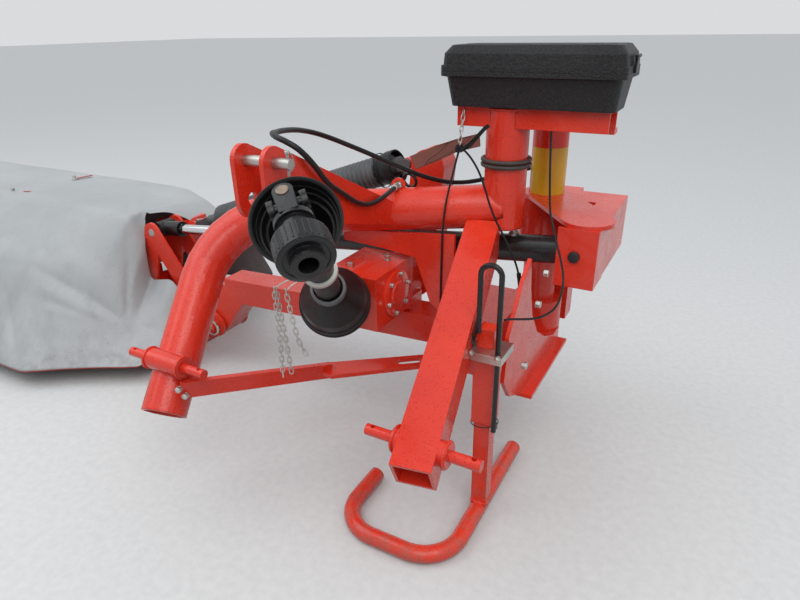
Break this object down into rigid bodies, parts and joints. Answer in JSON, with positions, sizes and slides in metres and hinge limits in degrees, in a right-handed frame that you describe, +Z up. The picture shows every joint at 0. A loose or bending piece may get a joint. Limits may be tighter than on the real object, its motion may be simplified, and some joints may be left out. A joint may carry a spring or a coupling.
{
  "type": "side-mounted disc mower",
  "caption": "Rear three-point disc mower lowered beside its bent-tube headstock, with swing arm, lift cylinder, cross shaft, seven-disc bar under a fabric cover, and parking stand.",
  "frame": {"origin": "middle of the part's box, on the ground", "axes": "+X to the tractor's left, +Y rearward, +Z up"},
  "size_m": [4.7084, 1.5644, 1.2813],
  "materials": {
    "red_paint": "glossy bright red paint",
    "black_paint": "satin black paint",
    "black_plastic": "grained black plastic",
    "grey_plastic": "ribbed dark grey plastic",
    "white_plastic": "white plastic",
    "rubber": "black rubber",
    "cover_fabric": "light grey coated fabric",
    "plated_steel": "zinc plated steel",
    "rod_chrome": "hard chrome",
    "worn_steel": "bare worn steel"
  },
  "bodies": {
    "headstock": {"arch_tube": "red_paint", "box_tube": "red_paint", "hitch_pins": "red_paint", "arch_gusset": "red_paint", "front_column": "red_paint", "column_band": "rubber", "toolbox_tray": "red_paint", "toolbox": "black_plastic", "pivot_column": "red_paint", "side_plate": "red_paint", "column_tie": "red_paint", "top_link_plates": "red_paint", "top_link_pin": "plated_steel", "brace_bar": "red_paint", "stand_sleeve": "red_paint", "stand_clamp": "plated_steel", "hook_rod": "black_paint", "front_guard": "black_plastic", "guard_tube": "black_plastic", "rear_guard": "black_plastic", "guard_collar": "white_plastic", "hydraulic_hose": "rubber", "lock_cord": "rubber"},
    "lid": {"toolbox_lid": "black_plastic"},
    "parking_stand": {"stand": "red_paint"},
    "tractor_shaft": {"shaft_core": "black_paint"},
    "free_yoke": {"front_yoke": "black_paint"},
    "arm": {"pivot_yoke": "red_paint", "swing_arm": "red_paint", "hinge_pin": "red_paint", "gearbox": "red_paint", "transfer_case": "red_paint"},
    "barrel": {"lift_barrel": "black_paint"},
    "rod": {"lift_rod": "rod_chrome", "rod_end": "black_paint"},
    "drive_outer": {"cross_shaft_guard": "black_plastic", "cross_shaft_outer": "grey_plastic"},
    "drive_inner": {"cross_shaft_inner": "grey_plastic"},
    "mower": {"link_frame": "red_paint", "lift_pin": "plated_steel", "mower_beam": "red_paint", "cutter_bar": "red_paint", "skid_shoes": "worn_steel", "inner_shoe": "red_paint", "outer_shoe": "red_paint", "mower_gearbox": "red_paint", "cover_frame": "red_paint", "cover_roof": "cover_fabric", "cover_inner": "cover_fabric", "swath_board": "black_plastic"},
    "front_flap": {"cover_front": "cover_fabric"},
    "end_flap": {"cover_end": "cover_fabric"},
    "cutter_1": {"disc_1": "worn_steel"},
    "cutter_2": {"disc_2": "worn_steel"},
    "cutter_3": {"disc_3": "worn_steel"},
    "cutter_4": {"disc_4": "worn_steel"},
    "cutter_5": {"disc_5": "worn_steel"},
    "cutter_6": {"disc_6": "worn_steel"},
    "cutter_7": {"disc_7": "worn_steel"}
  },
  "joints": [
    {"name": "arm_swing", "type": "hinge", "parent": "headstock", "child": "arm", "pos_m": [2.08315, 0.49419, 0.5], "axis": [0, 0, -1], "range_deg": [0, 15]},
    {"name": "mower_fold", "type": "hinge", "parent": "arm", "child": "mower", "pos_m": [0.80615, 0.22019, 0.18], "axis": [0, 1, 0], "range_deg": [-12, 90]},
    {"name": "barrel_swing", "type": "hinge", "parent": "arm", "child": "barrel", "pos_m": [2.26615, 0.22019, 0.728], "axis": [0, 1, 0], "range_deg": [-8, 3]},
    {"name": "rod_slide", "type": "slide", "parent": "barrel", "child": "rod", "axis": [-0.9949, 0, -0.1005], "range_m": [-0.66, 0.1]},
    {"name": "drive_swing", "type": "hinge", "parent": "arm", "child": "drive_outer", "pos_m": [1.63415, 0.37019, 0.9], "axis": [0, 1, 0], "range_deg": [-30, 5]},
    {"name": "drive_slide", "type": "slide", "parent": "drive_outer", "child": "drive_inner", "axis": [-0.9462, 0, -0.3236], "range_m": [-0.42, 0.06]},
    {"name": "shaft_spin", "type": "hinge", "parent": "headstock", "child": "tractor_shaft", "pos_m": [1.67415, -0.17981, 0.61], "axis": [0.3749, -0.6823, 0.6276], "continuous": true},
    {"name": "yoke_swing", "type": "hinge", "parent": "tractor_shaft", "child": "free_yoke", "pos_m": [1.93527, -0.65498, 1.04707], "axis": [0.7156, 0.6434, 0.2719], "range_deg": [-110, 3]},
    {"name": "stand_slide", "type": "slide", "parent": "headstock", "child": "parking_stand", "axis": [0, 0, 1], "range_m": [0, 0.16]},
    {"name": "lid_hinge", "type": "hinge", "parent": "headstock", "child": "lid", "pos_m": [2.10915, 0.31869, 1.217], "axis": [-1, 0, 0], "range_deg": [0, 100]},
    {"name": "front_flap_hinge", "type": "hinge", "parent": "mower", "child": "front_flap", "pos_m": [-1.10385, 0.11019, 0.617], "axis": [-1, 0, 0], "range_deg": [0, 48]},
    {"name": "end_flap_hinge", "type": "hinge", "parent": "mower", "child": "end_flap", "pos_m": [-2.35115, 0.38019, 0.607], "axis": [0, 0.9993, -0.037], "range_deg": [0, 95]},
    {"name": "disc_spin_1", "type": "hinge", "parent": "mower", "child": "cutter_1", "pos_m": [0.36615, 0.22019, 0.102], "axis": [0, 0, 1], "continuous": true},
    {"name": "disc_spin_2", "type": "hinge", "parent": "mower", "child": "cutter_2", "pos_m": [-0.03385, 0.22019, 0.102], "axis": [0, 0, 1], "continuous": true},
    {"name": "disc_spin_3", "type": "hinge", "parent": "mower", "child": "cutter_3", "pos_m": [-0.43385, 0.22019, 0.102], "axis": [0, 0, 1], "continuous": true},
    {"name": "disc_spin_4", "type": "hinge", "parent": "mower", "child": "cutter_4", "pos_m": [-0.83385, 0.22019, 0.102], "axis": [0, 0, 1], "continuous": true},
    {"name": "disc_spin_5", "type": "hinge", "parent": "mower", "child": "cutter_5", "pos_m": [-1.23385, 0.22019, 0.102], "axis": [0, 0, 1], "continuous": true},
    {"name": "disc_spin_6", "type": "hinge", "parent": "mower", "child": "cutter_6", "pos_m": [-1.63385, 0.22019, 0.102], "axis": [0, 0, 1], "continuous": true},
    {"name": "disc_spin_7", "type": "hinge", "parent": "mower", "child": "cutter_7", "pos_m": [-2.03385, 0.22019, 0.102], "axis": [0, 0, 1], "continuous": true}
  ],
  "couplings": [
    {"joint": "barrel_swing", "follows": "mower_fold", "ratio": -0.0824},
    {"joint": "rod_slide", "follows": "mower_fold", "m_per_rad": -0.4096},
    {"joint": "drive_swing", "follows": "mower_fold", "ratio": -0.3209},
    {"joint": "drive_slide", "follows": "mower_fold", "m_per_rad": -0.2599},
    {"joint": "disc_spin_2", "follows": "disc_spin_1", "ratio": -1},
    {"joint": "disc_spin_3", "follows": "disc_spin_1", "ratio": 1},
    {"joint": "disc_spin_4", "follows": "disc_spin_1", "ratio": -1},
    {"joint": "disc_spin_5", "follows": "disc_spin_1", "ratio": 1},
    {"joint": "disc_spin_6", "follows": "disc_spin_1", "ratio": -1},
    {"joint": "disc_spin_7", "follows": "disc_spin_1", "ratio": 1}
  ]
}
